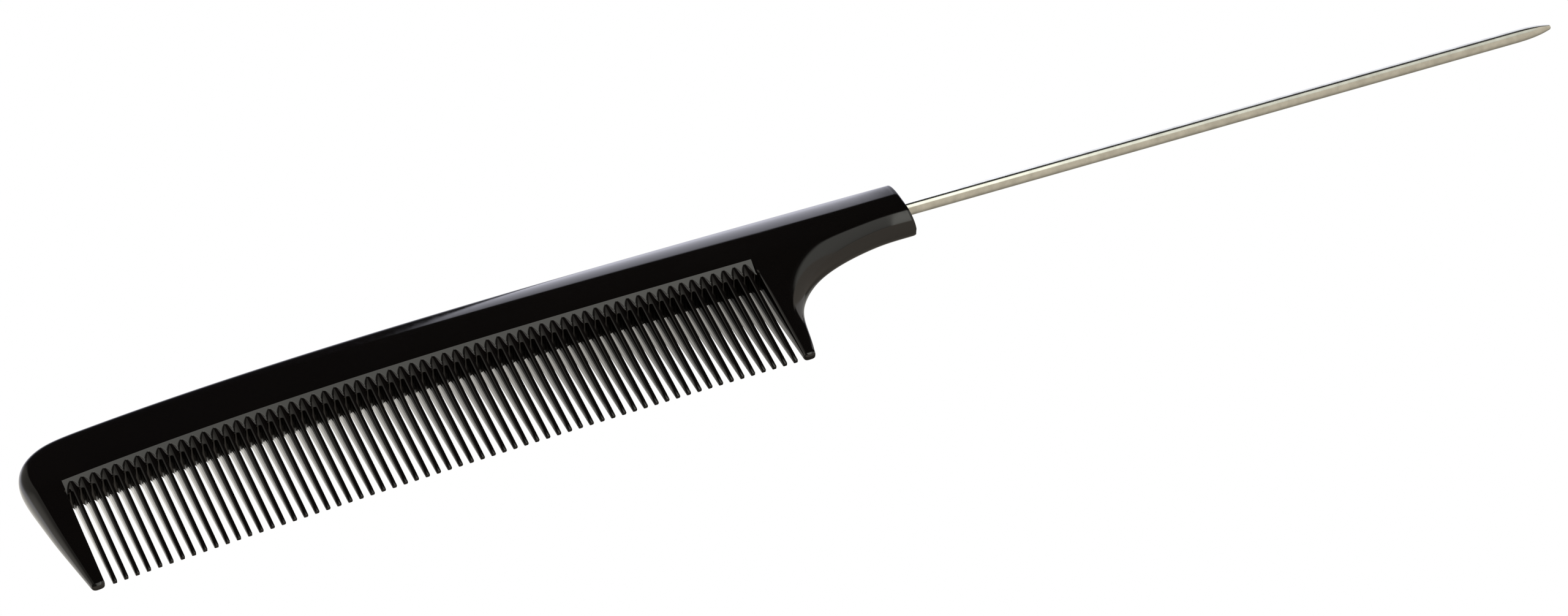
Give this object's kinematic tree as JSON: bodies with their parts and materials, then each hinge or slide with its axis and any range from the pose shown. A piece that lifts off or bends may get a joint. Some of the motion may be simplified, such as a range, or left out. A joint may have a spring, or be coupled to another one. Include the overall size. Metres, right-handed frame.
{
  "type": "rat tail comb",
  "caption": "Fine-tooth hair comb moulded in one glossy black piece with a short rounded handle and a long thin pointed steel tail for parting and sectioning hair.",
  "frame": {"origin": "middle of the whole comb's box, on the mid-plane between its two faces", "axes": "+X along the tooth row from the guard tooth end to the tip of the tail, +Y from the tooth tips towards the back, +Z out of the upper face"},
  "size_m": [0.2366, 0.028, 0.0054],
  "materials": {
    "black_plastic": "glossy black moulded plastic, polished tool finish",
    "tail_steel": "satin stainless steel wire, ground to a rounded point"
  },
  "bodies": {
    "root": {"comb_body": "black_plastic", "tail_pin": "tail_steel"}
  },
  "joints": []
}
